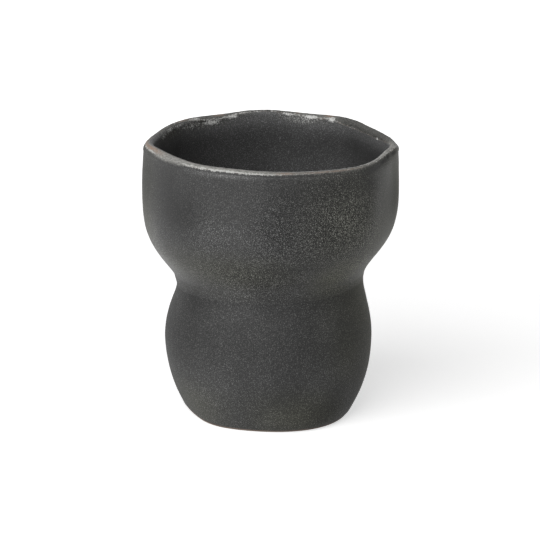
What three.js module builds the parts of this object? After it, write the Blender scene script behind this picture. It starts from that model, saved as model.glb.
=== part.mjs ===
// A waisted stoneware mug without a handle: one fired piece of clay, shaped by hand, glazed inside and out.
// Millimetres, +Z up. The origin is on the table, under the middle of the mug's outline.
// Bearings are degrees from +X, counterclockwise seen from above. The front of the mug is at -Y.
import * as THREE from 'three';
import { mergeVertices } from 'three/addons/utils/BufferGeometryUtils.js';

// Outside of the clay, from the foot up: each line's radius, and its rise above the line below it
const footRadius = 29.5; // where the foot's rounded edge ends
const footRounding = 0.6; // radius of that edge
const bellyRadius = 36.3; // widest line under the waist
const bellyRise = 26.8; // above the table
const neckRadius = 32.8; // the waist
const neckRise = 21.2;
const bowlRadius = 44.3; // widest line over the waist
const bowlRise = 29.8;
const mouthRadius = 43.5; // where the rounded lip begins
const mouthRise = 19.8; // from the bowl's widest line to the crest of the lip

// How the wall runs between those lines
const footFlare = 25; // degrees that the wall leans out where it leaves the foot
const footFlareLength = 4.0;
const bellyFullnessBelow = 0.58; // share of a rise that the wall stays upright next to a line
const bellyFullnessAbove = 0.45;
const neckFullnessBelow = 0.25;
const neckFullnessAbove = 0.28;
const bowlFullnessBelow = 0.63;
const bowlFullnessAbove = 0.45;
const mouthFullness = 0.15;

// Thicknesses, the floor and the foot ring
const wallThickness = 2.9; // also the thickness of the rounded lip
const floorThickness = 4.5;
const floorInset = 10.0; // from the foot's radius in to the flat of the floor
const floorFullness = 0.6;
const recessDepth = 2.0; // hollow under the floor
const recessSlope = 1.5; // how far its side leans in
const footRingWidth = 5.0; // flat that stands on the table
const glazeThickness = 0.4;
const glazeBead = 0.6; // width of the rounded edge of a coat of glaze
const edgeCover = 0.8; // share of the thickness that the coat has at the inner side of its edge

// What hands did to the round form
const lean = 2.0; // how far the mouth stands to +X of the foot
const neckTilt = 0.3; // how much the waist sits higher on the right and lower on the left
const neckTiltReach = 25.0; // above and below the waist

const neckHeight = bellyRise + neckRise;
const bowlHeight = neckHeight + bowlRise;
const mugHeight = bowlHeight + mouthRise;
const lipRadius = wallThickness / 2;
const lipHeight = mugHeight - lipRadius;
const recessRadius = footRadius - footRounding - footRingWidth - recessSlope;

// Presses and pulls on the lip, which fade out down to the waist: the degrees that each reaches to both
// sides of its bearing, and how far it moves the lip out and up
const lipPresses = [
  { bearing: -5, reach: 16, out: 0.6, up: -0.1 }, // right corner
  { bearing: 25, reach: 34, out: -1.8, up: 0.0 }, // straight stretch behind it
  { bearing: 55, reach: 24, out: 1.0, up: 0.1 }, // back right corner
  { bearing: 95, reach: 32, out: 0.7, up: 0.8 }, // high back
  { bearing: 135, reach: 36, out: 1.3, up: 0.4 }, // back left corner
  { bearing: 175, reach: 24, out: 1.4, up: -0.7 }, // left corner
  { bearing: 210, reach: 32, out: -1.1, up: 0.3 }, // flattened front left
  { bearing: 245, reach: 52, out: 0.3, up: 0.5 }, // front
  { bearing: 295, reach: 52, out: 0.8, up: -0.2 }, // swelling front right
  { bearing: 315, reach: 32, out: 2.1, up: -0.2 },
];

// Presses on the wall: height of the middle, degrees to both sides, and reach above and below
const wallPresses = [
  { bearing: 200, height: 4, sideways: 42, upright: 30, out: -2.0 }, // flat on the left of the foot
  { bearing: 303, height: 2, sideways: 56, upright: 9, out: 2.4 }, // corner on the right of the foot
  { bearing: 180, height: neckHeight - 2, sideways: 72, upright: 11, out: -0.7 }, // tight left of the waist
  { bearing: -10, height: neckHeight + 10, sideways: 66, upright: 11, out: -0.6 }, // hollow right shoulder
  { bearing: 190, height: neckHeight + 12, sideways: 64, upright: 18, out: 1.0 }, // full left shoulder
];

// How finely the surfaces are divided
const sidesAround = 48;
const footSteps = 3;
const bellySteps = 6;
const neckSteps = 6;
const bowlSteps = 8;
const mouthSteps = 4;
const lipSteps = 6;
const floorSteps = 6;
const flatSteps = 2; // from a flat's edge to the axis

const glazeOutside = new THREE.MeshStandardMaterial({ color: 0x4d4d4a, roughness: 0.62, metalness: 0 });
const glazeInside = new THREE.MeshStandardMaterial({ color: 0x424241, roughness: 0.58, metalness: 0 });
const glazeUnder = new THREE.MeshStandardMaterial({ color: 0x454543, roughness: 0.7, metalness: 0 });
const bareClay = new THREE.MeshStandardMaterial({ color: 0x8f7d70, roughness: 0.9, metalness: 0 });

// Share of a press that is felt at a distance from its middle: 1 there, 0 from its reach on
function pressShare(distance, reach) {
  const away = Math.min(1, Math.abs(distance) / reach);
  return (1 - away ** 2) ** 3;
}

// Smallest turn between two bearings, in degrees
function turnBetween(bearing, other) {
  return THREE.MathUtils.euclideanModulo(bearing - other + 180, 360) - 180;
}

// A point of the round form, moved to where hands left it
function handShaped(radius, height, bearing) {
  const angle = THREE.MathUtils.degToRad(bearing);
  const onLip = THREE.MathUtils.smoothstep(height, neckHeight, mugHeight);
  let out = 0;
  let up = neckTilt * pressShare(height - neckHeight, neckTiltReach) * Math.cos(angle);
  for (const press of lipPresses) {
    const share = onLip * pressShare(turnBetween(bearing, press.bearing), press.reach);
    out += press.out * share;
    up += press.up * share;
  }
  for (const press of wallPresses) {
    const across = pressShare(turnBetween(bearing, press.bearing), press.sideways);
    out += press.out * across * pressShare(height - press.height, press.upright);
  }
  const onWall = THREE.MathUtils.smoothstep(radius, recessRadius, footRadius);
  const finalRadius = radius + out * onWall;
  return new THREE.Vector3(
    finalRadius * Math.cos(angle) + lean * (height / mugHeight),
    finalRadius * Math.sin(angle),
    height + up * onWall,
  );
}

// All the points round the mug at one station of its outline
function ringAt({ at }) {
  return Array.from({ length: sidesAround }, (_, side) => handShaped(at.x, at.y, (360 * side) / sidesAround));
}

// Stations of the outline: a point (radius, height) and the direction that the clay's face looks there
function stationsAlong(curve, shares) {
  return shares.map((share) => {
    const way = curve.getTangentAt(share);
    return { at: curve.getPointAt(share), facing: new THREE.Vector2(way.y, -way.x) };
  });
}

function evenShares(steps) {
  return Array.from({ length: steps + 1 }, (_, step) => step / steps);
}

// Even shares with one more near the start, where a coat of glaze rounds off its edge
function sharesWithEdgeAtStart(curve, steps) {
  const [first, ...others] = evenShares(steps);
  return [first, glazeBead / curve.getLength(), ...others];
}

function sharesWithEdgeAtEnd(curve, steps) {
  return sharesWithEdgeAtStart(curve, steps).map((share) => 1 - share).reverse();
}

// A stretch of wall between two lines, upright where it leaves each of them
function wallStretch(lower, upper, fullnessLower, fullnessUpper) {
  const rise = upper.y - lower.y;
  return new THREE.CubicBezierCurve(
    lower,
    new THREE.Vector2(lower.x, lower.y + fullnessLower * rise),
    new THREE.Vector2(upper.x, upper.y - fullnessUpper * rise),
    upper,
  );
}

// Joins stretches of stations into one row, each shared end kept once
function joinStations(...stretches) {
  return stretches.flatMap((stretch, index) => (index === 0 ? stretch : stretch.slice(1)));
}

function outerWallStations() {
  const foot = new THREE.Vector2(footRadius, footRounding);
  const belly = new THREE.Vector2(bellyRadius, bellyRise);
  const neck = new THREE.Vector2(neckRadius, neckHeight);
  const bowl = new THREE.Vector2(bowlRadius, bowlHeight);
  const mouth = new THREE.Vector2(mouthRadius, lipHeight);
  const flare = THREE.MathUtils.degToRad(90 - footFlare);
  const flareWay = new THREE.Vector2(Math.cos(flare), Math.sin(flare));
  const flareEnd = foot.clone().addScaledVector(flareWay, footFlareLength);
  const bellyTurn = new THREE.Vector2(bellyRadius, bellyRise * (1 - bellyFullnessBelow));
  const lowest = new THREE.CubicBezierCurve(foot, flareEnd, bellyTurn, belly);
  const waist = wallStretch(belly, neck, bellyFullnessAbove, neckFullnessBelow);
  const shoulder = wallStretch(neck, bowl, neckFullnessAbove, bowlFullnessBelow);
  const highest = wallStretch(bowl, mouth, bowlFullnessAbove, mouthFullness);
  return joinStations(
    stationsAlong(lowest, sharesWithEdgeAtStart(lowest, bellySteps)),
    stationsAlong(waist, evenShares(neckSteps)),
    stationsAlong(shoulder, evenShares(bowlSteps)),
    stationsAlong(highest, sharesWithEdgeAtEnd(highest, mouthSteps)),
  );
}

function lipStations() {
  const lip = new THREE.EllipseCurve(mouthRadius - lipRadius, lipHeight, lipRadius, lipRadius, 0, Math.PI);
  return stationsAlong(lip, evenShares(lipSteps));
}

// The inside of the wall lies one thickness behind the outside, down to the belly's widest line
function innerWallStations(outerWall) {
  return outerWall
    .filter(({ at }) => at.y >= bellyRise)
    .reverse()
    .map(({ at, facing }) => ({
      at: at.clone().addScaledVector(facing, -wallThickness),
      facing: facing.clone().negate(),
    }));
}

function floorStations() {
  const floorHeight = recessDepth + floorThickness;
  const side = new THREE.Vector2(bellyRadius - wallThickness, bellyRise);
  const edge = new THREE.Vector2(footRadius - floorInset, floorHeight);
  const corner = new THREE.CubicBezierCurve(
    side,
    new THREE.Vector2(side.x, side.y + (edge.y - side.y) * floorFullness),
    new THREE.Vector2(edge.x + (side.x - edge.x) * floorFullness, edge.y),
    edge,
  );
  const flat = new THREE.LineCurve(edge, new THREE.Vector2(0, floorHeight));
  return joinStations(
    stationsAlong(corner, evenShares(floorSteps)),
    stationsAlong(flat, evenShares(flatSteps)),
  );
}

// The hollow under the floor, from the axis out to where its side begins
function recessStations() {
  const flat = new THREE.LineCurve(
    new THREE.Vector2(0, recessDepth),
    new THREE.Vector2(recessRadius, recessDepth),
  );
  return stationsAlong(flat, sharesWithEdgeAtEnd(flat, flatSteps));
}

// The flat ring that stands on the table, and its rounded outer edge
function footRingStations() {
  const outerEdge = footRadius - footRounding;
  const ring = new THREE.LineCurve(
    new THREE.Vector2(outerEdge - footRingWidth, 0),
    new THREE.Vector2(outerEdge, 0),
  );
  const edge = new THREE.EllipseCurve(outerEdge, footRounding, footRounding, footRounding, -Math.PI / 2, 0);
  return joinStations(stationsAlong(ring, [0, 1]), stationsAlong(edge, evenShares(footSteps)));
}

// The face of a coat of glaze on a row of stations. It rounds off to nothing where it ends on a wall,
// and keeps its thickness where it reaches the axis.
function glazeOver(stations) {
  const last = stations.length - 1;
  const edges = [0, last].filter((index) => stations[index].at.x > 0);
  const coverByRowsFromEdge = [0, edgeCover];
  return stations.map(({ at, facing }, index) => {
    const rowsFromEdge = Math.min(...edges.map((edge) => Math.abs(edge - index)));
    const cover = coverByRowsFromEdge[rowsFromEdge] ?? 1;
    return { at: at.clone().addScaledVector(facing, glazeThickness * cover), facing };
  });
}

// Triangles between neighbouring rings. A sheet that is turned has the same triangles, seen from behind.
function sheetBetween(rings, turned = false) {
  const corners = [];
  for (let row = 1; row < rings.length; row += 1) {
    for (let side = 0; side < sidesAround; side += 1) {
      const next = (side + 1) % sidesAround;
      const [a, b] = [rings[row - 1][side], rings[row - 1][next]];
      const [c, d] = [rings[row][next], rings[row][side]];
      for (const triangle of [[a, b, c], [a, c, d]]) {
        const flat = triangle.some((corner, index) => corner.equals(triangle[(index + 1) % 3]));
        if (!flat) corners.push(...(turned ? triangle.reverse() : triangle));
      }
    }
  }
  return corners;
}

// One closed solid from its sheets, moved so that the mug's outline is centred on the origin
function solid(name, material, sheets, middle) {
  const places = sheets.flat().flatMap((corner) => [corner.x - middle.x, corner.y - middle.y, corner.z]);
  const geometry = new THREE.BufferGeometry();
  geometry.setAttribute('position', new THREE.Float32BufferAttribute(places, 3));
  const joined = mergeVertices(geometry);
  joined.computeVertexNormals();
  const mesh = new THREE.Mesh(joined, material);
  mesh.name = name;
  return mesh;
}

const outerWall = outerWallStations();
const innerFace = joinStations(innerWallStations(outerWall), floorStations());
const recess = recessStations();

const outerRings = outerWall.map(ringAt);
const innerRings = innerFace.map(ringAt);
const recessRings = recess.map(ringAt);
const outerGlazeRings = glazeOver(outerWall).map(ringAt);
const innerGlazeRings = glazeOver(innerFace).map(ringAt);
const recessGlazeRings = glazeOver(recess).map(ringAt);

const clayRings = [
  ...recessRings,
  ...footRingStations().map(ringAt).slice(0, -1),
  ...outerRings,
  ...lipStations().map(ringAt).slice(1, -1),
  ...innerRings,
];

const middle = new THREE.Box3().setFromPoints(outerGlazeRings.flat()).getCenter(new THREE.Vector3());

// A coat of glaze: its face, and its back that lies on the clay
const outerCoat = [sheetBetween(outerGlazeRings), sheetBetween(outerRings, true)];
const innerCoat = [sheetBetween(innerGlazeRings), sheetBetween(innerRings, true)];
const recessCoat = [sheetBetween(recessGlazeRings), sheetBetween(recessRings, true)];

const mug = new THREE.Group();
mug.add(
  solid('clay_body', bareClay, [sheetBetween(clayRings)], middle),
  solid('outer_glaze', glazeOutside, outerCoat, middle),
  solid('inner_glaze', glazeInside, innerCoat, middle),
  solid('recess_glaze', glazeUnder, recessCoat, middle),
);

export default mug;
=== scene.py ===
"""A waisted stoneware mug without a handle, finely modelled around its fixed frame.

The outline, the thicknesses and the presses of the hand are those of the frame's solids. What is added
here is the fine surface: the wandering edges of the glaze, the worn lip, and the unevenness that hands
left. Sizes of the mug are in millimetres up to where a mesh is made, and lamps and camera are placed in
metres. Bearings are degrees from +X, counterclockwise seen from above. "From the crest" is the way along
the surface from the top of the lip, in millimetres, counted up outside the mug and down inside it.
"""
import math

import bpy
import numpy as np
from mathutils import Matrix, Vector, noise


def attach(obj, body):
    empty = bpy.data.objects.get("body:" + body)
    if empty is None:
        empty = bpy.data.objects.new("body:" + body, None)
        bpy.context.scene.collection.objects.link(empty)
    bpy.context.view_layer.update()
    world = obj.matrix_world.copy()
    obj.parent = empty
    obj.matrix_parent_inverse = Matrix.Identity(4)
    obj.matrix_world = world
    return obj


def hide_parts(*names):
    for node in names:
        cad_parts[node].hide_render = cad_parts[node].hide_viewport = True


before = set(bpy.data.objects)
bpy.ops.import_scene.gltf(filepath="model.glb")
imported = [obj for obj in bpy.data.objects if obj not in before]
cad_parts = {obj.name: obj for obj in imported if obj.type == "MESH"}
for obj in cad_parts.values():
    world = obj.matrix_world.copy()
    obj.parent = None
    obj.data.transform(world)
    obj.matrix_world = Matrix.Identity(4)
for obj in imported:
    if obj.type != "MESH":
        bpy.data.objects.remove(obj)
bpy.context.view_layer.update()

MM = 0.001

# Outside of the clay, from the foot up, as in the frame's solids
FOOT_RADIUS = 29.5
FOOT_ROUNDING = 0.6
BELLY_RADIUS = 36.3
BELLY_RISE = 26.8
NECK_RADIUS = 32.8
NECK_RISE = 21.2
BOWL_RADIUS = 44.3
BOWL_RISE = 29.8
MOUTH_RADIUS = 43.5
MOUTH_RISE = 19.8
FOOT_FLARE = 25.0
FOOT_FLARE_LENGTH = 4.0
BELLY_FULLNESS_BELOW = 0.58
BELLY_FULLNESS_ABOVE = 0.45
NECK_FULLNESS_BELOW = 0.25
NECK_FULLNESS_ABOVE = 0.28
BOWL_FULLNESS_BELOW = 0.63
BOWL_FULLNESS_ABOVE = 0.45
MOUTH_FULLNESS = 0.15

# Thicknesses, the floor and the foot ring
WALL_THICKNESS = 2.9
FLOOR_THICKNESS = 4.5
FLOOR_INSET = 10.0
FLOOR_FULLNESS = 0.6
RECESS_DEPTH = 2.0
RECESS_SLOPE = 1.5
FOOT_RING_WIDTH = 5.0
GLAZE_THICKNESS = 0.4

# What hands did to the round form
LEAN = 2.0
NECK_TILT = 0.3
NECK_TILT_REACH = 25.0

NECK_HEIGHT = BELLY_RISE + NECK_RISE
BOWL_HEIGHT = NECK_HEIGHT + BOWL_RISE
MUG_HEIGHT = BOWL_HEIGHT + MOUTH_RISE
LIP_RADIUS = WALL_THICKNESS / 2
LIP_HEIGHT = MUG_HEIGHT - LIP_RADIUS
RING_OUTSIDE = FOOT_RADIUS - FOOT_ROUNDING
RECESS_RADIUS = RING_OUTSIDE - FOOT_RING_WIDTH - RECESS_SLOPE

# Presses and pulls on the lip: bearing, degrees to both sides, out and up
LIP_PRESSES = (
    (-5, 16, 0.6, -0.1),
    (25, 34, -1.8, 0.0),
    (55, 24, 1.0, 0.1),
    (95, 32, 0.7, 0.8),
    (135, 36, 1.3, 0.4),
    (175, 24, 1.4, -0.7),
    (210, 32, -1.1, 0.3),
    (245, 52, 0.3, 0.5),
    (295, 52, 0.8, -0.2),
    (315, 32, 2.1, -0.2),
)

# Presses on the wall: bearing, height, degrees to both sides, reach above and below, out
WALL_PRESSES = (
    (200, 4, 42, 30, -2.0),
    (303, 2, 56, 9, 2.4),
    (180, NECK_HEIGHT - 2, 72, 11, -0.7),
    (-10, NECK_HEIGHT + 10, 66, 11, -0.6),
    (190, NECK_HEIGHT + 12, 64, 18, 1.0),
)

# Where the outer coat of glaze ends: bearing, and how far outside the crest
OUTER_EDGE = (
    (3, 1.0), (45, 1.2), (90, 1.3), (160, 1.3), (180, 1.6), (190, 2.0), (202, 2.2), (210, 2.0),
    (219, 1.7), (233, 1.65), (248, 1.6), (262, 1.75), (270, 1.6), (282, 1.3), (296, 1.1), (311, 1.0),
    (319, 0.8), (337, 0.7), (345, 1.1), (353, 1.0),
)

# Where the inner coat ends: bearing, and how far inside the crest
INNER_EDGE = (
    (8, 2.4), (18, 3.1), (36, 3.3), (46, 3.4), (53, 3.0), (60, 2.0), (66, 2.2), (76, 1.6), (91, 1.0),
    (106, 1.2), (112, 1.8), (118, 2.3), (126, 2.0), (137, 1.0), (150, 0.6), (165, 0.1), (190, 0.1),
    (205, 0.4), (330, 0.6), (355, 1.0),
)

# How pale the bare lip is: bearing, and share of the way from dark olive to light grey
LIP_PALENESS = (
    (4, 0.12), (15, 0.08), (50, 0.08), (60, 0.3), (75, 0.3), (85, 0.08), (105, 0.12), (118, 0.25),
    (138, 0.2), (150, 0.06), (165, 0.2), (182, 0.7), (200, 0.75), (212, 0.7), (240, 0.7), (262, 0.65),
    (275, 0.45), (290, 0.35), (315, 0.3), (326, 0.5), (342, 0.6), (352, 0.8),
)

# How white and unbroken the line along each coat's edge is: bearing, and strength
OUTER_LINE = (
    (15, 0.3), (60, 0.2), (85, 0.05), (115, 0.05), (140, 0.3), (180, 0.5), (195, 0.7), (202, 0.1),
    (219, 0.0), (228, 0.8), (262, 0.9), (272, 0.5), (290, 0.3), (318, 0.3), (334, 0.6), (348, 0.6),
)
INNER_LINE = (
    (0, 0.0), (15, 0.1), (50, 0.1), (60, 0.6), (90, 0.4), (110, 0.8), (140, 0.3), (160, 0.1),
    (200, 0.1), (225, 0.1), (262, 0.4), (272, 1.0), (315, 1.1), (330, 0.8), (348, 0.6),
)

# How wide the bare band fades into the outer coat below it: bearing, and millimetres
BAND_FADE = (
    (188, 0.0), (198, 0.7), (210, 1.2), (222, 0.9), (230, 0.1), (280, 0.1), (300, 0.4), (325, 0.3),
    (340, 0.0),
)

# Brown bare clay: bearing, degrees to both sides, from the crest, reach across, strength
BROWN_PATCHES = (
    (190, 24, 0.9, 1.6, 1.0),
    (176, 10, 0.8, 1.2, 0.5),
    (276, 8, 1.0, 1.0, 0.6),
    (298, 26, 0.8, 0.8, 0.5),
    (345, 7, 1.2, 0.8, 0.4),
    (38, 24, 0.7, 0.8, 1.0),
    (61, 4, -0.6, 1.0, 0.9),
    (77, 3, -0.4, 0.8, 0.6),
    (117, 5, -0.6, 1.0, 0.7),
    (138, 8, -0.2, 1.0, 0.6),
)

# White flecks where the glaze drew back: bearing, degrees to both sides, from the crest, reach, strength
WHITE_PATCHES = (
    (122, 11, -3.1, 2.0, 0.9),
    (110, 7, -2.1, 1.3, 0.9),
    (131, 8, -1.0, 1.2, 0.8),
    (143, 8, -2.0, 1.5, 0.6),
    (152, 7, -2.0, 1.6, 0.7),
    (159, 8, -2.6, 1.6, 0.6),
    (82, 9, -1.6, 1.4, 0.75),
    (70, 8, -1.7, 1.6, 1.05),
    (59, 4, -2.0, 2.0, 1.1),
    (75, 24, -3.0, 2.8, 0.54),
    (132, 20, -3.2, 2.6, 0.5),
    (44, 10, -3.2, 0.9, 0.35),
    (18, 3, -3.0, 0.9, 0.9),
)

# Dark, gritty glaze that ran thin: bearing, degrees to both sides, from the crest, reach, strength
WORN_PATCHES = (
    (152, 24, -2.6, 4.6, 1.0),
    (126, 24, -2.6, 3.8, 0.85),
    (108, 14, -1.6, 2.2, 0.6),
    (74, 26, -2.4, 3.0, 0.5),
    (40, 34, -1.8, 2.4, 0.7),
)

# Painted shade in the hollows below the lip and painted highlights on the glaze's rolls there: bearing,
# degrees to both sides, from the crest, reach, how much paler
LIP_PAINTED_SHADE_AND_HIGHLIGHTS = (
    (345, 7, 2.1, 1.2, -0.85),
    (337, 8, 1.8, 1.2, -0.85),
    (329, 8, 2.0, 1.4, -0.85),
    (321, 8, 2.4, 1.9, -0.85),
    (315, 8, 3.0, 2.6, -0.6),
    (317, 8, 7.0, 7.0, -0.35),
    (248, 30, 3.2, 1.3, 1.0),
    (292, 28, 2.8, 1.1, 0.7),
    (268, 60, 2.1, 0.6, -0.4),
)

# How strongly the outer coat's grain shows: bearing, degrees to both sides, height, reach, strength
GRAIN_PATCHES = (
    (302, 56, 77, 44, 1.1),
    (276, 44, 74, 44, 0.9),
    (240, 50, 72, 44, 0.6),
    (262, 90, 58, 18, 0.9),
    (320, 50, 58, 16, 1.1),
    (120, 80, 72, 50, 0.9),
    (30, 66, 66, 44, 0.7),
)
LEAST_GRAIN = 0.4
BELLY_GRAIN = 0.45
INSIDE_GRAIN = 0.32
WAIST_START = 48.0  # heights between which the coat changes from the belly's to the bowl's
WAIST_END = 50.5

# Where the outer coat is drier, which dulls its gloss: bearing, degrees to both sides, height, reach,
# strength
DRY_PATCHES = (
    (334, 20, 97, 5, 1.3),
    (348, 26, 80, 17, 0.65),
    (185, 30, 86, 30, 0.6),
)
BELLY_DRYNESS = 1.0

# Paler and darker parts of the outer coat, partly its own tone and partly painted light and shade, such
# as the painted sheen of the left lamp on the left of the waist and the painted dark stripe on the bowl's
# front
# left where that reflection ends: bearing, degrees to both sides, height, reach, how much paler
TONE_AND_PAINTED_LIGHT_PATCHES = (
    (213, 17, 84, 40, -0.30),
    (242, 32, 76, 36, 0.20),
    (276, 14, 82, 26, -0.22),
    (226, 22, 78, 16, -0.50),
    (201, 30, 64, 16, 0.95),
    (199, 32, 57, 9, 0.90),
    (316, 26, 79, 20, 0.34),
    (303, 12, 80, 13, 0.25),
    (322, 20, 66, 20, 0.30),
    (344, 22, 80, 24, -0.32),
    (337, 8, 92, 9, 0.18),
    (294, 24, 92, 7, -0.22),
    (278, 26, 62, 5, -0.28),
    (240, 52, 55, 10, 0.50),
    (292, 42, 55, 9, 0.25),
    (252, 18, 47, 12, 0.30),
    (216, 22, 44, 8, -0.26),
    (326, 14, 50, 7, -0.22),
    (217, 20, 36, 26, -0.15),
    (305, 14, 37, 12, 0.35),
    (284, 18, 20, 34, -0.18),
    (314, 16, 10, 14, -0.40),
    (336, 24, 14, 22, -0.30),
    (225, 44, 9, 16, 0.34),
    (304, 18, 5, 10, -0.36),
)

# Paleness of the outer coat by height, partly its own tone and partly painted light and shade: painted
# shade in the waist's crease, and painted light low on the belly, where it faces the lit floor
TONE_AND_PAINTED_LIGHT_BY_HEIGHT = (
    (0, 1.45), (4, 1.4), (11, 1.25), (21, 1.2), (32, 0.87), (43, 1.0), (47.5, 0.85), (50.5, 1.08),
    (57, 1.12), (66, 1.27), (75, 1.2), (82, 0.92), (89, 0.87), (93, 0.92), (97, 1.12),
)

# Paleness of the inner coat by the way down the wall, in millimetres
TONE_BY_DEPTH = ((0, 2.0), (4, 1.95), (10, 1.08), (14, 1.1), (20, 1.32))

# Darker parts of the inner coat: bearing, degrees to both sides, from the crest, reach, how much darker
DARKER_INSIDE = (
    (10, 60, -9, 9, 0.28),
    (42, 34, -8, 8, 0.26),
)

# Warmer parts of the outer coat: bearing, degrees to both sides, height, reach, strength
WARM_PATCHES = (
    (310, 48, 78, 46, 0.26),
    (0, 90, 58, 80, 0.5),
    (352, 34, 84, 38, 0.6),
    (250, 76, 60, 13, 0.25),
    (315, 40, 57, 16, 0.52),
    (325, 36, 30, 30, 0.27),
    (215, 60, 6, 18, 0.22),
    (292, 60, 6, 18, 0.3),
    (184, 32, 80, 40, 0.25),
    (110, 90, 50, 70, 0.3),
)

FAR = 25.0  # millimetres from the crest, past which what the materials read doesn't change
AROUND = 640  # points in each ring
SAME_PLACE = 1e-9  # millimetres, below which two points of an outline are one
MIDDLE_LEVELS = 400  # how finely the outer glaze is measured for its middle
MIDDLE_TURN = 7.5


def press_share(distance, reach):
    """How much of a press is felt at a distance from its middle: 1 there, 0 from its reach on."""
    away = np.minimum(1.0, np.abs(distance) / reach)
    return (1 - away**2) ** 3


def turn_between(bearing, other):
    """How many degrees a bearing is past another, the short way round: -180 to 180."""
    return (bearing - other + 180.0) % 360.0 - 180.0


def smoothstep(value, low, high):
    """A smooth change from 0 to 1 while the value goes from low to high."""
    share = np.clip((value - low) / (high - low), 0.0, 1.0)
    return share * share * (3 - 2 * share)


def by_bearing(knots, bearing):
    """A value that runs evenly round the mug from each of its knots (bearing, value) to the next."""
    at, value = np.array(sorted(knots), float).T
    return np.interp(bearing, at, value, period=360.0)


def patches(places, bearing, across):
    """The strongest of several round patches at each point."""
    share = np.zeros(np.broadcast(bearing, across).shape)
    for at, sideways, middle, reach, strength in places:
        here = press_share(turn_between(bearing, at), sideways) * press_share(across - middle, reach)
        share = np.maximum(share, strength * here)
    return share


def toned(tone_and_painted_light, places, bearing, across):
    """A tone, made paler or darker by every patch that reaches it."""
    for at, sideways, middle, reach, paler in places:
        share = press_share(turn_between(bearing, at), sideways) * press_share(across - middle, reach)
        tone_and_painted_light = tone_and_painted_light * (1 + paler * share)
    return tone_and_painted_light


def hand_shaped(radius, height, bearing):
    """Points of the round form, moved to where hands left them, as in the frame's solids."""
    angle = np.radians(bearing)
    on_lip = smoothstep(height, NECK_HEIGHT, MUG_HEIGHT)
    out = 0.0
    up = NECK_TILT * press_share(height - NECK_HEIGHT, NECK_TILT_REACH) * np.cos(angle)
    for at, reach, push, lift in LIP_PRESSES:
        share = on_lip * press_share(turn_between(bearing, at), reach)
        out = out + push * share
        up = up + lift * share
    for at, level, sideways, upright, push in WALL_PRESSES:
        across = press_share(turn_between(bearing, at), sideways)
        out = out + push * across * press_share(height - level, upright)
    on_wall = smoothstep(radius, RECESS_RADIUS, FOOT_RADIUS)
    final_radius = radius + out * on_wall
    return np.stack([
        final_radius * np.cos(angle) + LEAN * (height / MUG_HEIGHT),
        final_radius * np.sin(angle),
        height + up * on_wall,
    ], axis=-1)


def bezier(start, start_handle, end_handle, end, count=240):
    """Points along a cubic curve."""
    share = np.linspace(0.0, 1.0, count)[:, None]
    rest = 1 - share
    start, start_handle, end_handle, end = map(np.array, (start, start_handle, end_handle, end))
    middle = 3 * rest**2 * share * start_handle + 3 * rest * share**2 * end_handle
    return rest**3 * start + middle + share**3 * end


def wall_stretch(lower, upper, fullness_lower, fullness_upper):
    """A stretch of wall between two lines, upright where it leaves each of them."""
    rise = upper[1] - lower[1]
    lower_handle = (lower[0], lower[1] + fullness_lower * rise)
    upper_handle = (upper[0], upper[1] - fullness_upper * rise)
    return bezier(lower, lower_handle, upper_handle, upper)


def straight(start, end, count=24):
    """Points along a straight line."""
    return np.linspace(start, end, count)


def arc(centre, radius, first, last, count=60):
    """Points along a round arc from one angle to another, in degrees."""
    angle = np.radians(np.linspace(first, last, count))
    return np.stack([centre[0] + radius * np.cos(angle), centre[1] + radius * np.sin(angle)], axis=-1)


class Outline:
    """A line of (radius, height), read by the way along it, with the direction that its face looks."""

    def __init__(self, *stretches):
        points = np.concatenate(stretches)
        new = np.r_[True, np.linalg.norm(np.diff(points, axis=0), axis=1) > SAME_PLACE]
        self.points = points[new]
        self.along = np.r_[0.0, np.cumsum(np.linalg.norm(np.diff(self.points, axis=0), axis=1))]
        way = np.gradient(self.points, self.along, axis=0)
        way /= np.linalg.norm(way, axis=1, keepdims=True)
        self.facing = np.stack([way[:, 1], -way[:, 0]], axis=-1)
        self.length = self.along[-1]

    def at(self, along, off):
        """Radius and height at a distance along the line, moved off it by some millimetres."""
        radius, height = (np.interp(along, self.along, part) for part in self.points.T)
        out, up = (np.interp(along, self.along, part) for part in self.facing.T)
        return radius + out * off, height + up * off


def outer_wall():
    """The outside from the foot up to where the lip rounds over."""
    foot = (FOOT_RADIUS, FOOT_ROUNDING)
    belly = (BELLY_RADIUS, BELLY_RISE)
    neck = (NECK_RADIUS, NECK_HEIGHT)
    bowl = (BOWL_RADIUS, BOWL_HEIGHT)
    mouth = (MOUTH_RADIUS, LIP_HEIGHT)
    flare = math.radians(90 - FOOT_FLARE)
    flare_rise = FOOT_FLARE_LENGTH * math.sin(flare)
    flare_end = (foot[0] + FOOT_FLARE_LENGTH * math.cos(flare), foot[1] + flare_rise)
    belly_turn = (BELLY_RADIUS, BELLY_RISE * (1 - BELLY_FULLNESS_BELOW))
    return Outline(
        bezier(foot, flare_end, belly_turn, belly),
        wall_stretch(belly, neck, BELLY_FULLNESS_ABOVE, NECK_FULLNESS_BELOW),
        wall_stretch(neck, bowl, NECK_FULLNESS_ABOVE, BOWL_FULLNESS_BELOW),
        wall_stretch(bowl, mouth, BOWL_FULLNESS_ABOVE, MOUTH_FULLNESS),
    )


def floor_corner():
    """The inside from the belly's widest line down and round to the flat of the floor."""
    side = (BELLY_RADIUS - WALL_THICKNESS, BELLY_RISE)
    edge = (FOOT_RADIUS - FLOOR_INSET, RECESS_DEPTH + FLOOR_THICKNESS)
    side_handle = (side[0], side[1] + (edge[1] - side[1]) * FLOOR_FULLNESS)
    edge_handle = (edge[0] + (side[0] - edge[0]) * FLOOR_FULLNESS, edge[1])
    return bezier(side, side_handle, edge_handle, edge)


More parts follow.
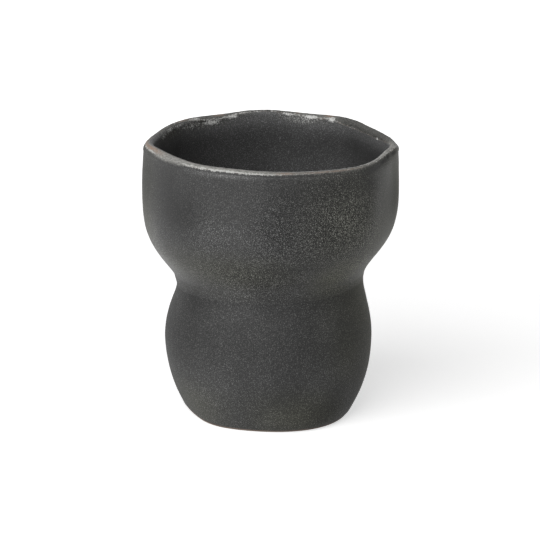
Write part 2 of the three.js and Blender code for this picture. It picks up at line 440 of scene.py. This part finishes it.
def whole_outline(wall):
    """The clay from the axis under the floor, round the foot, wall and lip, to the axis inside."""
    under = straight((0.0, RECESS_DEPTH), (RECESS_RADIUS, RECESS_DEPTH))
    ring = straight((RING_OUTSIDE - FOOT_RING_WIDTH, 0.0), (RING_OUTSIDE, 0.0))
    foot_edge = arc((RING_OUTSIDE, FOOT_ROUNDING), FOOT_ROUNDING, -90, 0)
    lip = arc((MOUTH_RADIUS - LIP_RADIUS, LIP_HEIGHT), LIP_RADIUS, 0, 180)
    above_belly = wall.points[:, 1] >= BELLY_RISE
    inside = (wall.points - WALL_THICKNESS * wall.facing)[above_belly][::-1]
    corner = floor_corner()
    floor = straight(corner[-1], (0.0, corner[-1][1]))
    return Outline(under, ring, foot_edge, wall.points, lip, inside, corner, floor)


WALL = outer_wall()
CLAY = whole_outline(WALL)


def along_where(radius, height):
    """The way along the clay's outline to its point nearest to a radius and a height."""
    off = np.linalg.norm(CLAY.points - np.array([radius, height]), axis=1)
    return CLAY.along[off.argmin()]


RECESS_END = along_where(RECESS_RADIUS, RECESS_DEPTH)
RING_START = along_where(RING_OUTSIDE - FOOT_RING_WIDTH, 0.0)
RING_END = along_where(RING_OUTSIDE, 0.0)
WALL_START = along_where(FOOT_RADIUS, FOOT_ROUNDING)
CREST = along_where(MOUTH_RADIUS - LIP_RADIUS, MUG_HEIGHT)
BEARINGS = np.arange(AROUND) * (360.0 / AROUND)


def outline_middle():
    """Middle of the box round the outer glaze, which the frame has over its origin."""
    along = np.linspace(WALL_START, WALL_START + WALL.length, MIDDLE_LEVELS)[:, None]
    radius, height = CLAY.at(along, GLAZE_THICKNESS)
    places = hand_shaped(radius, height, np.arange(0.0, 360.0, MIDDLE_TURN)).reshape(-1, 3)
    middle = (places.min(axis=0) + places.max(axis=0)) / 2
    middle[2] = 0.0
    return middle


MIDDLE = outline_middle()


def noise_at(places, grain, seed):
    """Smooth noise from -1 to 1 at each place, with lumps about one grain across."""
    flat = places.reshape(-1, 3) / grain + seed
    values = [noise.noise(Vector(place)) for place in flat]
    return np.array(values).reshape(places.shape[:-1])


# Lumps, hollows and ridges: bearing, degrees to both sides, from the crest, reach, out
RELIEF = (
    (330, 26, 0.7, 1.2, 0.18),
    (324, 11, 2.3, 1.5, -0.45),
    (335, 11, 1.9, 1.2, -0.50),
    (344, 8, 2.1, 1.2, -0.60),
    (351, 7, 1.0, 1.2, 0.25),
    (3, 16, 1.6, 0.9, -0.30),
    (3, 16, 0.2, 1.3, 0.15),
    (319, 10, 17, 17, 0.40),
    (267, 9, 26, 24, 0.16),
)

# Unevenness from noise: how far out, size of a lump, seed
WALL_SWELLS = (0.14, 15.0, 3.1)
TURNING_RINGS = (0.05, 3.2, 7.7)
LIP_LUMPS = (0.07, 2.2, 1.3)
LIP_GRIT = (0.05, 0.9, 5.9)
RING_STRETCH = np.array([0.06, 0.06, 1.0])  # draws the noise of the turning rings out round the mug
LIP_REACH = 6.0  # way from the crest to where the lip's unevenness ends
FOOT_FADE = 6.0  # way up from the foot over which the wall's unevenness comes in
AXIS_FADE = (20.0, 40.0)  # ways from the axis inside, between which the wall's unevenness comes in


def uneven(places, facts):
    """How far one kind of unevenness stands out at each place."""
    out, lump, seed = facts
    return out * noise_at(places, lump, seed)


def relief(along, bearing):
    """How far the clay's face stands out from its smooth form, in millimetres."""
    radius, height = CLAY.at(along, 0.0)
    angle = np.radians(bearing)
    places = np.stack([radius * np.cos(angle), radius * np.sin(angle), height + 0 * bearing], axis=-1)
    from_crest = CREST - along
    on_wall = smoothstep(along, WALL_START, WALL_START + FOOT_FADE)
    on_wall *= smoothstep(CLAY.length - along, *AXIS_FADE)
    near_lip = press_share(from_crest, LIP_REACH)
    out = on_wall * (uneven(places, WALL_SWELLS) + uneven(places * RING_STRETCH, TURNING_RINGS))
    out += near_lip * (uneven(places, LIP_LUMPS) + uneven(places, LIP_GRIT))
    for at, sideways, middle, reach, push in RELIEF:
        share = press_share(turn_between(bearing, at), sideways)
        out += push * share * press_share(from_crest - middle, reach)
    return out


def shaped(along, bearing, off):
    """Places on the mug, off the clay's face by some millimetres."""
    radius, height = CLAY.at(along, off + relief(along, bearing))
    return hand_shaped(radius, height, bearing) - MIDDLE


class Skin:
    """Rings of places up the mug, and what the materials read there."""

    def __init__(self):
        self.along = []
        self.off = []

    def add(self, along, off):
        """One ring: the way along the outline, and off the clay, each one number or one per bearing."""
        self.along.append(np.broadcast_to(along, BEARINGS.shape).astype(float))
        self.off.append(np.broadcast_to(off, BEARINGS.shape).astype(float))

    def mesh(self, name, pole_first=False, pole_last=False):
        """A closed mesh: its rings end in a pole on the axis, or the last one joins the first."""
        along = np.array(self.along)
        bearing = np.broadcast_to(BEARINGS, along.shape)
        places = shaped(along, bearing, np.array(self.off))
        rings = len(places)
        index = np.arange(rings * AROUND).reshape(rings, AROUND)
        lower = index if not (pole_first or pole_last) else index[:-1]
        upper = np.roll(index, -1, axis=0)[: len(lower)]
        quads = np.stack([lower, np.roll(lower, -1, axis=1), np.roll(upper, -1, axis=1), upper], axis=-1)
        faces = quads.reshape(-1, 4).tolist()
        points = places.reshape(-1, 3)
        for wanted, ring, turned in ((pole_first, index[0], True), (pole_last, index[-1], False)):
            if wanted:
                pole = len(points)
                points = np.vstack([points, places[0 if turned else -1].mean(axis=0)])
                fan = zip(ring.tolist(), np.roll(ring, -1).tolist())
                faces += [(b, a, pole) if turned else (a, b, pole) for a, b in fan]
        mesh = bpy.data.meshes.new(name)
        mesh.from_pydata((points * MM).tolist(), [], faces)
        mesh.polygons.foreach_set("use_smooth", [True] * len(faces))
        self.write_marks(mesh, along, bearing, places)
        piece = bpy.data.objects.new(name, mesh)
        bpy.context.scene.collection.objects.link(piece)
        return piece

    def write_marks(self, mesh, along, bearing, places):
        """What the materials read, by name: at each point, and at the poles."""
        from_crest = np.clip(CREST - along, -FAR, FAR)
        outside = from_crest > 0
        edge = np.where(outside, by_bearing(OUTER_EDGE, bearing), by_bearing(INNER_EDGE, bearing))
        line = np.where(outside, by_bearing(OUTER_LINE, bearing), by_bearing(INNER_LINE, bearing))
        height = places[..., 2]
        above_waist = smoothstep(height, WAIST_START, WAIST_END)
        grain = np.maximum(LEAST_GRAIN, patches(GRAIN_PATCHES, bearing, height)) * above_waist
        grain += BELLY_GRAIN * (1 - above_waist)
        # partly painted light and shade, by height
        tone_and_painted_light = np.interp(height, *np.array(TONE_AND_PAINTED_LIGHT_BY_HEIGHT, float).T)
        # painted light and shade on the outer coat, beside its own tone
        tone_and_painted_light = toned(tone_and_painted_light, TONE_AND_PAINTED_LIGHT_PATCHES, bearing, height)
        # painted shade in the hollows under the lip and painted highlights on the glaze's rolls
        tone_and_painted_light = toned(tone_and_painted_light, LIP_PAINTED_SHADE_AND_HIGHLIGHTS, bearing, from_crest)
        inside_tone = np.interp(-from_crest, *np.array(TONE_BY_DEPTH, float).T)
        inside_tone *= 1 - patches(DARKER_INSIDE, bearing, from_crest)
        dryness = np.maximum(patches(DRY_PATCHES, bearing, height), BELLY_DRYNESS * (1 - above_waist))
        marks = {
            "bare": (edge - np.abs(from_crest), -FAR),
            "paleness": (by_bearing(LIP_PALENESS, bearing), 0.0),
            "line": (line, 0.0),
            "fade": (np.where(outside, by_bearing(BAND_FADE, bearing), 0.0), 0.0),
            "brown": (patches(BROWN_PATCHES, bearing, from_crest), 0.0),
            "white": (patches(WHITE_PATCHES, bearing, from_crest), 0.0),
            "worn": (patches(WORN_PATCHES, bearing, from_crest), 0.0),
            "grain": (np.where(outside, grain, INSIDE_GRAIN), INSIDE_GRAIN),
            # the coat's tone, with painted light and shade on the outer coat
            "tone_and_painted_light": (np.where(outside, tone_and_painted_light, inside_tone), 1.0),
            "warmth": (np.where(outside, patches(WARM_PATCHES, bearing, height), 0.0), 0.0),
            "dryness": (np.where(outside, dryness, 0.0), 0.0),
        }
        for name, (values, at_poles) in marks.items():
            every = np.full(len(mesh.vertices), at_poles, float)
            every[: values.size] = values.ravel()
            mesh.attributes.new(name, "FLOAT", "POINT").data.foreach_set("value", every)
        angle = np.radians(bearing)
        rim = [MOUTH_RADIUS * np.cos(angle), MOUTH_RADIUS * np.sin(angle), from_crest]
        every = np.zeros((len(mesh.vertices), 3))
        every[: along.size] = np.stack(rim, axis=-1).reshape(-1, 3)
        mesh.attributes.new("rim", "FLOAT_VECTOR", "POINT").data.foreach_set("vector", every.ravel())


# Ways in from a coat's edge at which its face has a ring, at the lip and at the foot
EDGE_STEPS = (0.0, 0.05, 0.11, 0.19, 0.3, 0.45, 0.65, 0.9, 1.2, 1.55, 1.95, 2.4, 2.9, 3.5, 4.2, 5.0)
FOOT_EDGE_STEPS = (0.0, 0.06, 0.14, 0.26, 0.45, 0.75, 1.2)

# How many rings the faces and the buried backs of the coats have
WALL_RINGS = 84
RECESS_RINGS = 24
OUTER_BACK_RINGS = 14
INNER_BACK_RINGS = 18
RECESS_BACK_RINGS = 6

POLE_RING = 0.8  # way from the axis to the first ring of points
OUTER_TAPER = 1.8  # way over which the outer coat comes to its full thickness below the lip
INNER_TAPER = 4.5  # the same inside, where the coat ran thin off the lip
COAT_STEP = 0.08  # how abruptly a coat's edge stands off the clay
COAT_ROUNDING = 0.12  # way over which that step rounds off
COAT_ROLL = 0.20  # how much thicker the outer coat is where it gathered beside its edge
COAT_ROLL_AT = 1.3  # way in from the edge to the middle of that roll
COAT_ROLL_REACH = 1.2  # way from its middle to where it ends
BURIED = -0.15  # the back of a coat lies this far inside the clay, where nothing shows

# How the coats' edges wander: runs and bites in millimetres in and out, size of one, what is added to
# the seed
EDGE_RUNS = (0.16, 3.0, 0.0)
EDGE_BITES = (0.10, 1.1, 4.0)
OUTER_SEED = 11.0
INNER_SEED = 23.0


def coat_thickness(from_edge, taper, roll=0.0):
    """A small step at the coat's edge, and from there a slow rise to the full thickness."""
    step = COAT_STEP * (1 - np.exp(-from_edge / COAT_ROUNDING))
    rise = (GLAZE_THICKNESS - COAT_STEP) * smoothstep(from_edge, 0.0, taper)
    return step + rise + roll * press_share(from_edge - COAT_ROLL_AT, COAT_ROLL_REACH)


def ragged(edge, seed):
    """The edge of a coat round the mug, drawn in and out by small runs and bites."""
    angle = np.radians(BEARINGS)
    ring = np.stack([MOUTH_RADIUS * np.cos(angle), MOUTH_RADIUS * np.sin(angle), 0 * angle], axis=-1)
    for out, size, further in (EDGE_RUNS, EDGE_BITES):
        edge = edge + out * noise_at(ring, size, seed + further)
    return edge


def make_outer_coat():
    """The outer coat: its back down to the foot, then its face up to the wandering edge below the lip."""
    skin = Skin()
    edge = CREST - ragged(by_bearing(OUTER_EDGE, BEARINGS), OUTER_SEED)
    wall_end = edge - EDGE_STEPS[-1]
    for share in np.linspace(0.0, 1.0, OUTER_BACK_RINGS):
        skin.add(edge * (1 - share) + WALL_START * share, BURIED)
    for step in FOOT_EDGE_STEPS:
        skin.add(WALL_START + step, coat_thickness(step, FOOT_EDGE_STEPS[-1]))
    wall_from = WALL_START + FOOT_EDGE_STEPS[-1]
    for share in np.linspace(0.0, 1.0, WALL_RINGS)[1:-1]:
        skin.add(wall_from * (1 - share) + wall_end * share, GLAZE_THICKNESS)
    for step in reversed(EDGE_STEPS):
        skin.add(edge - step, coat_thickness(step, OUTER_TAPER, COAT_ROLL))
    return skin.mesh("mug_outer_glaze")


def make_inner_coat():
    """The inner coat: its back from the axis up to the edge, then its face down and in to the axis."""
    skin = Skin()
    edge = CREST + ragged(by_bearing(INNER_EDGE, BEARINGS), INNER_SEED)
    wall_from = edge + EDGE_STEPS[-1]
    inner_end = CLAY.length - POLE_RING
    for share in np.linspace(1.0, 0.0, INNER_BACK_RINGS):
        skin.add(edge * (1 - share) + inner_end * share, BURIED)
    for step in EDGE_STEPS:
        skin.add(edge + step, coat_thickness(step, INNER_TAPER))
    for share in np.linspace(0.0, 1.0, WALL_RINGS)[1:]:
        skin.add(wall_from * (1 - share) + inner_end * share, GLAZE_THICKNESS)
    return skin.mesh("mug_inner_glaze", pole_first=True, pole_last=True)


def make_recess_coat():
    """The coat in the foot's hollow: its face outwards from the axis, and its back inwards to it."""
    skin = Skin()
    face_end = RECESS_END - FOOT_EDGE_STEPS[-1]
    for along in np.linspace(POLE_RING, face_end, RECESS_RINGS)[:-1]:
        skin.add(along, GLAZE_THICKNESS)
    for step in reversed(FOOT_EDGE_STEPS):
        skin.add(RECESS_END - step, coat_thickness(step, FOOT_EDGE_STEPS[-1]))
    for along in np.linspace(RECESS_END, POLE_RING, RECESS_BACK_RINGS):
        skin.add(along, BURIED)
    return skin.mesh("mug_recess_glaze", pole_first=True, pole_last=True)


# Stretches of the clay, one after another from the pole ring on: where each ends, and its rings
CLAY_STRETCHES = (
    (RECESS_END, 8),
    (RING_START, 6),
    (RING_END, 10),
    (WALL_START, 8),
    (CREST - EDGE_STEPS[-1], 24),
    (CREST + EDGE_STEPS[-1], 66),
    (CLAY.length - POLE_RING, 24),
)


def make_clay():
    """The clay from the axis under the floor, round the foot, wall and lip, to the axis inside."""
    skin = Skin()
    skin.add(POLE_RING, 0.0)
    start = POLE_RING
    for end, rings in CLAY_STRETCHES:
        for along in np.linspace(start, end, rings)[1:]:
            skin.add(along, 0.0)
        start = end
    return skin.mesh("mug_clay", pole_first=True, pole_last=True)


class Shading:
    """Builds one node tree. Call add gives back the new node, and every other call an output."""

    def __init__(self, tree):
        self.nodes = tree.nodes
        self.links = tree.links
        self.nodes.clear()

    def add(self, kind, inputs=(), **settings):
        """A node with its settings, and its inputs by name or number: values, or outputs to link."""
        node = self.nodes.new("ShaderNode" + kind)
        for name, value in settings.items():
            setattr(node, name, value)
        for name, value in dict(inputs).items():
            if isinstance(value, bpy.types.NodeSocket):
                self.links.new(value, node.inputs[name])
            else:
                node.inputs[name].default_value = value
        return node

    def math(self, operation, *numbers):
        """One number made from one or two others."""
        return self.add("Math", dict(enumerate(numbers)), operation=operation).outputs[0]

    def sum(self, first, second):
        return self.math("ADD", first, second)

    def product(self, first, second):
        return self.math("MULTIPLY", first, second)

    def larger(self, first, second):
        return self.math("MAXIMUM", first, second)

    def size(self, value):
        return self.math("ABSOLUTE", value)

    def ramp(self, value, low, high, to_low=0.0, to_high=1.0):
        """A smooth change from one number to another while the value goes from low to high."""
        inputs = {"Value": value, "From Min": low, "From Max": high, "To Min": to_low, "To Max": to_high}
        return self.add("MapRange", inputs, interpolation_type="SMOOTHSTEP").outputs["Result"]

    def mark(self, name):
        """What a mesh says at each point under a name."""
        return self.add("Attribute", attribute_name=name).outputs["Fac"]

    def place(self):
        """The place on the mug in millimetres."""
        spot = self.add("TexCoord").outputs["Object"]
        scaled = self.add("VectorMath", {0: spot, "Scale": 1 / MM}, operation="SCALE")
        return scaled.outputs["Vector"]

    def noise(self, vector, grain, detail, roughness):
        """Noise around one half, with lumps about one grain across in millimetres."""
        inputs = {"Vector": vector, "Scale": 1 / grain, "Detail": detail, "Roughness": roughness}
        return self.add("TexNoise", inputs).outputs["Fac"]

    def lip_noise(self, length, grain, detail, roughness):
        """Noise on the lip, whose lumps are some times longer round it than across it."""
        spot = self.add("Attribute", attribute_name="rim").outputs["Vector"]
        stretched = self.add("VectorMath", {0: spot, 1: (1.0, 1.0, length)}, operation="MULTIPLY")
        return self.noise(stretched.outputs["Vector"], grain, detail, roughness)

    def scaled(self, colour, factor):
        """A colour times a number."""
        return self.add("VectorMath", {0: colour, "Scale": factor}, operation="SCALE").outputs["Vector"]

    def mix(self, share, first, second):
        """A colour between two colours."""
        node = self.add("Mix", data_type="RGBA")
        for socket, value in ((0, share), (6, first), (7, second)):
            if isinstance(value, bpy.types.NodeSocket):
                self.links.new(value, node.inputs[socket])
            else:
                node.inputs[socket].default_value = value if socket == 0 else (*value, 1.0)
        return node.outputs[2]


# Colours of the lip, the clay and the specks
OLIVE = (0.040, 0.040, 0.037)
WORN_OLIVE = (0.024, 0.023, 0.017)
GRIT_GREY = (0.32, 0.32, 0.29)
PALE_GREY = (0.34, 0.335, 0.315)
BARE_BROWN = (0.30, 0.205, 0.150)
LINE_GREY = (0.50, 0.50, 0.48)
FLECK_WHITE = (0.66, 0.66, 0.64)
SPECK_GREY = (0.30, 0.30, 0.28)
RAW_CLAY = (0.26, 0.20, 0.165)
STAINED_CLAY = (0.20, 0.15, 0.12)
SANDY_CLAY = (0.42, 0.36, 0.31)
WARM_CAST = (1.10, 1.11, 0.60)  # what the glaze's colour is multiplied by where it is fully warm

# Colour and roughness of each coat
OUTER_GLAZE = ((0.052, 0.052, 0.0515), 0.5)
INNER_GLAZE = ((0.052, 0.052, 0.052), 0.5)
RECESS_GLAZE = ((0.052, 0.050, 0.046), 0.55)

# Noise on the lip: times longer round it than across it, size of a lump, detail, roughness
GRIT = (1.0, 0.55, 3.0, 0.7)
JITTER = (1.0, 0.7, 3.0, 0.6)
STREAKS = (5.0, 1.6, 3.0, 0.6)
CRUMBS = (2.0, 0.8, 3.0, 0.6)
DASHES = (3.0, 0.9, 2.0, 0.6)
CLUMPS = (1.0, 0.55, 4.0, 0.8)

# How that noise shows: from one of its values to another, and what comes of it there if not 0 and 1
GRIT_SHOWS = (0.54, 0.66)
EDGE_SHIFT = (0.25, 0.75, -0.32, 0.32)
STREAKS_PALER = (0.3, 0.65, 0.5, 1.2)
GRIT_PALER = (0.35, 0.70, -0.04, 0.20)
CRUMBS_SHOW = (0.32, 0.55)
DASHES_SHOW = (0.60, 0.74)
CLUMPS_SHOW = (0.62, 0.86)

WORN_SHARE = 0.75  # how far the colour of glaze that ran thin goes to the worn one
BAND_START = -0.25  # where the bare band starts to show, in millimetres from the coat's edge
BAND_FULL = 0.20  # and where it shows fully
LINE_AT = 0.2  # the white line's middle, in millimetres from the coat's edge
LINE_CORE = 0.06  # from its middle to where it starts to fade
LINE_REACH = 0.18  # from its middle to where it ends
LINE_WIDER = 0.35  # what its strength adds to that
DASHES_JOIN = 0.3  # how much its strength closes its gaps
CLUMPS_JOIN = 0.35  # how much the strength of a white patch closes the gaps in it
CLUMPS_START = (0.02, 0.2)  # strengths of a white patch between which its flecks come in


def lip_finish(shading, base):
    """The worn lip over a base colour: gritty thin glaze, the bare band, brown clay, and white edges."""
    worn = shading.mark("worn")
    base = shading.mix(shading.product(worn, WORN_SHARE), base, WORN_OLIVE)
    grit = shading.lip_noise(*GRIT)
    base = shading.mix(shading.product(shading.ramp(grit, *GRIT_SHOWS), worn), base, GRIT_GREY)
    jitter = shading.lip_noise(*JITTER)
    shifted = shading.sum(shading.mark("bare"), shading.ramp(jitter, *EDGE_SHIFT))
    fade_end = shading.sum(shading.product(shading.mark("fade"), -1.0), BAND_START)
    on_band = shading.ramp(shifted, fade_end, BAND_FULL)
    streaks = shading.lip_noise(*STREAKS)
    paleness = shading.product(shading.mark("paleness"), shading.ramp(streaks, *STREAKS_PALER))
    paleness = shading.sum(paleness, shading.ramp(grit, *GRIT_PALER))
    band = shading.mix(paleness, OLIVE, PALE_GREY)
    crumbs = shading.lip_noise(*CRUMBS)
    brown = shading.product(shading.mark("brown"), shading.ramp(crumbs, *CRUMBS_SHOW))
    band = shading.mix(brown, band, BARE_BROWN)
    colour = shading.mix(on_band, base, band)
    line = shading.mark("line")
    dashes = shading.lip_noise(*DASHES)
    whiteness = shading.ramp(shading.sum(dashes, shading.product(line, DASHES_JOIN)), *DASHES_SHOW)
    reach = shading.sum(shading.product(line, LINE_WIDER), LINE_REACH)
    at_edge = shading.ramp(shading.size(shading.sum(shifted, -LINE_AT)), reach, LINE_CORE)
    colour = shading.mix(shading.product(at_edge, whiteness), colour, LINE_GREY)
    clumps = shading.lip_noise(*CLUMPS)
    white = shading.mark("white")
    threshold = shading.sum(clumps, shading.product(white, CLUMPS_JOIN))
    flecks = shading.product(shading.ramp(threshold, *CLUMPS_SHOW), shading.ramp(white, *CLUMPS_START))
    return shading.mix(flecks, colour, FLECK_WHITE)


# Noise in the glaze and the clay: size of a lump, detail, roughness
CLOUDS = (20.0, 2.0, 0.5)
GRAIN = (0.29, 1.0, 0.6)
SWELLS = (2.2, 2.0, 0.5)
SAND = (0.5, 3.0, 0.6)
STAIN = (7.0, 3.0, 0.5)

USUAL_NOISE = (0.3, 0.7)  # most of a noise's values lie between these
CLOUD_TONES = (0.92, 1.08)
GRAIN_SHOWS = (0.50, 0.74)
BETWEEN_GRAINS = 0.8  # how much darker than its mean the glaze is between its pale grains
GRAIN_GAIN = 5.2  # how much paler the grains are
LEAST_TONE = 0.1  # share of its tone that the glaze keeps at the least between its grains
GRAIN_SMOOTHER = 0.04  # how much less rough than its mean the glaze is between its grains
GRAIN_ROUGHER = 0.06  # how much rougher the grains are
DRY_ROUGHER = 0.2  # what full dryness adds to the roughness

# Specks: millimetres from one to the next, share of its own colour, spacings from its middle between
# which a speck ends, and random numbers between which specks come in
SPECK_SPACING = 1.2
SPECK_SHARE = 0.7
SPECK_EDGE = (0.22, 0.10)
SPECKS_CHOSEN = (0.6, 1.0)

SAND_SHOWS = (0.58, 0.72, 0.0, 0.5)
CLAY_ROUGHNESS = (0.6, 0.8)
BUMP_HEIGHT = 0.08  # millimetres
GLAZE_BUMPS = 0.4
GRAIN_BUMPS = 0.3  # height of the glaze's grain beside that of its swells
CLAY_BUMPS = 0.5
GLAZE_IOR = 1.30  # low, because a matte glaze's fine crystals break up its gloss


def glaze_material(name, base, roughness):
    """Matte charcoal glaze: slow clouds of tone, painted light and shade from the marks, a fine grain of
    pale crystals, and the worn lip.
    """
    material = bpy.data.materials.new(name)
    material.use_nodes = True
    shading = Shading(material.node_tree)
    place = shading.place()
    clouds = shading.noise(place, *CLOUDS)
    grain = shading.noise(place, *GRAIN)
    weight = shading.mark("grain")
    warm = tuple(part * cast for part, cast in zip(base, WARM_CAST))
    colour = shading.mix(shading.mark("warmth"), base, warm)
    # the tone mark holds painted light and shade besides the coat's own tone
    tone_and_painted_light = shading.product(shading.mark("tone_and_painted_light"), shading.ramp(clouds, *USUAL_NOISE, *CLOUD_TONES))
    crystals = shading.ramp(grain, *GRAIN_SHOWS, -BETWEEN_GRAINS, GRAIN_GAIN - BETWEEN_GRAINS)
    swing = shading.sum(shading.product(crystals, weight), 1.0)
    tone_and_painted_light = shading.product(tone_and_painted_light, shading.larger(swing, LEAST_TONE))
    colour = shading.scaled(colour, tone_and_painted_light)
    specks = shading.add("TexVoronoi", {"Vector": place, "Scale": 1 / SPECK_SPACING})
    dots = shading.ramp(specks.outputs["Distance"], *SPECK_EDGE)
    chosen = shading.add("SeparateColor", {"Color": specks.outputs["Color"]}).outputs[0]
    dots = shading.product(dots, shading.ramp(chosen, *SPECKS_CHOSEN))
    colour = shading.mix(shading.product(dots, shading.product(weight, SPECK_SHARE)), colour, SPECK_GREY)
    colour = lip_finish(shading, colour)
    rough = shading.ramp(grain, *USUAL_NOISE, roughness - GRAIN_SMOOTHER, roughness + GRAIN_ROUGHER)
    rough = shading.sum(rough, shading.product(shading.mark("dryness"), DRY_ROUGHER))
    swells = shading.noise(place, *SWELLS)
    height = shading.sum(shading.product(grain, GRAIN_BUMPS), swells)
    finish_material(shading, colour, rough, height, GLAZE_BUMPS)
    return material


def clay_material():
    """Bare fired stoneware: raw on the foot ring, worn and stained on the lip."""
    material = bpy.data.materials.new("bare_clay")
    material.use_nodes = True
    shading = Shading(material.node_tree)
    place = shading.place()
    sand = shading.noise(place, *SAND)
    stain = shading.noise(place, *STAIN)
    raw = shading.mix(shading.ramp(stain, *USUAL_NOISE), RAW_CLAY, STAINED_CLAY)
    raw = shading.mix(shading.ramp(sand, *SAND_SHOWS), raw, SANDY_CLAY)
    colour = lip_finish(shading, raw)
    rough = shading.ramp(sand, *USUAL_NOISE, *CLAY_ROUGHNESS)
    finish_material(shading, colour, rough, sand, CLAY_BUMPS)
    return material


def finish_material(shading, colour, rough, height, bumps):
    """The surface of the clay or a coat, with its fine bumps."""
    bump = shading.add("Bump", {"Strength": bumps, "Distance": BUMP_HEIGHT * MM, "Height": height})
    inputs = {"Base Color": colour, "Roughness": rough, "Normal": bump.outputs["Normal"]}
    surface = shading.add("BsdfPrincipled", inputs)
    surface.inputs["IOR"].default_value = GLAZE_IOR
    shading.add("OutputMaterial", {"Surface": surface.outputs["BSDF"]})


FLOOR_HALF_WIDTH = 6.0  # metres
FLOOR_DROP = 0.05  # millimetres that it lies below the foot, so that the two don't share a plane
FLOOR_GREY = (0.78, 0.78, 0.78, 1.0)
FLOOR_GLOW = 0.62  # its own light beside the mug, where its shadow has to show
FLOOR_GLOW_RISE = (150.0, 600.0)  # millimetres from the mug's middle over which that light rises to white
WORLD_FILL = 0.14  # light from all round, beside the lamps

# Soft lamps: degrees to the viewer's right of the camera, degrees up, metres off, width, height, radiance
LAMPS = {
    "front_softbox": (-38, 30, 1.3, 1.6, 1.3, 1.95),
    "high_softbox": (-30, 55, 1.3, 1.2, 1.0, 1.85),
}
LAMPS_AIM = Vector((0.0, 0.0, 0.05))

CAMERA_ELEVATION = 16.0
CAMERA_DISTANCE = 1.6
CAMERA_AIM = Vector((-0.00009, 0.0, 0.0506))
CAMERA_LENS = 301.1
CAMERA_SENSOR = 36.0


def seen_directly(shading):
    """One for rays that see the background: the camera's, mirrored and transmitted ones."""
    path = shading.add("LightPath").outputs
    seen = shading.larger(path["Is Camera Ray"], path["Is Glossy Ray"])
    return shading.larger(seen, path["Is Transmission Ray"])


def make_floor():
    """A wide white floor, which shows nearly white and keeps the mug's shadow."""
    sides = ((-1, -1), (1, -1), (1, 1), (-1, 1))
    corners = [(x * FLOOR_HALF_WIDTH, y * FLOOR_HALF_WIDTH, -FLOOR_DROP * MM) for x, y in sides]
    mesh = bpy.data.meshes.new("floor")
    mesh.from_pydata(corners, [], [(0, 1, 2, 3)])
    floor = bpy.data.objects.new("floor", mesh)
    bpy.context.scene.collection.objects.link(floor)
    material = bpy.data.materials.new("floor_white")
    material.use_nodes = True
    shading = Shading(material.node_tree)
    diffuse = shading.add("BsdfDiffuse", {"Color": FLOOR_GREY})
    away = shading.add("VectorMath", {0: shading.place()}, operation="LENGTH").outputs["Value"]
    strength = shading.ramp(away, *FLOOR_GLOW_RISE, FLOOR_GLOW, 1.0)
    glow = shading.add("Emission", {"Strength": shading.product(seen_directly(shading), strength)})
    both = shading.add("AddShader", {0: diffuse.outputs[0], 1: glow.outputs[0]})
    shading.add("OutputMaterial", {"Surface": both.outputs[0]})
    mesh.materials.append(material)


def make_world():
    """White where it is seen, and a soft even fill for everything else."""
    world = bpy.data.worlds.new("studio")
    world.use_nodes = True
    bpy.context.scene.world = world
    shading = Shading(world.node_tree)
    strength = shading.ramp(seen_directly(shading), 0.0, 1.0, WORLD_FILL, 1.0)
    background = shading.add("Background", {"Strength": strength})
    background.inputs["Color"].default_value = (1.0, 1.0, 1.0, 1.0)
    shading.add("OutputWorld", {"Surface": background.outputs[0]})


def make_lamp(name, sideways, up, distance, width, height, radiance):
    """A soft rectangular lamp that faces the mug, and whose own face has a given radiance."""
    light = bpy.data.lights.new(name, "AREA")
    light.shape = "RECTANGLE"
    light.size = width
    light.size_y = height
    light.energy = radiance * math.pi * width * height
    lamp = bpy.data.objects.new(name, light)
    turn = math.radians(sideways)
    rise = math.radians(up)
    level = math.cos(rise)
    away = Vector((math.sin(turn) * level, -math.cos(turn) * level, math.sin(rise)))
    lamp.location = LAMPS_AIM + away * distance
    lamp.rotation_euler = (-away).to_track_quat("-Z", "Y").to_euler()
    lamp.visible_camera = False
    bpy.context.scene.collection.objects.link(lamp)


def make_camera():
    """The photograph's view: from the front, a little from above, through a long lens."""
    data = bpy.data.cameras.new("camera")
    data.sensor_fit = "HORIZONTAL"
    data.sensor_width = CAMERA_SENSOR
    data.lens = CAMERA_LENS
    camera = bpy.data.objects.new("camera", data)
    elevation = math.radians(CAMERA_ELEVATION)
    back = Vector((0.0, -math.cos(elevation), math.sin(elevation)))
    camera.location = CAMERA_AIM + back * CAMERA_DISTANCE
    camera.rotation_euler = (-back).to_track_quat("-Z", "Y").to_euler()
    bpy.context.scene.collection.objects.link(camera)
    bpy.context.scene.camera = camera


def dress(piece, material, node):
    """Gives a piece its material, hangs it under the mug's body, and hides the frame's node that it
    stands for.
    """
    piece.data.materials.append(material)
    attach(piece, "root")
    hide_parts(node)


outside = glaze_material("outer_glaze", *OUTER_GLAZE)
inside = glaze_material("inner_glaze", *INNER_GLAZE)
underneath = glaze_material("recess_glaze", *RECESS_GLAZE)

dress(make_clay(), clay_material(), "clay_body")
dress(make_outer_coat(), outside, "outer_glaze")
dress(make_inner_coat(), inside, "inner_glaze")
dress(make_recess_coat(), underneath, "recess_glaze")

make_floor()
make_world()
for lamp_name, lamp_facts in LAMPS.items():
    make_lamp(lamp_name, *lamp_facts)
make_camera()
bpy.context.scene.view_settings.view_transform = "Standard"
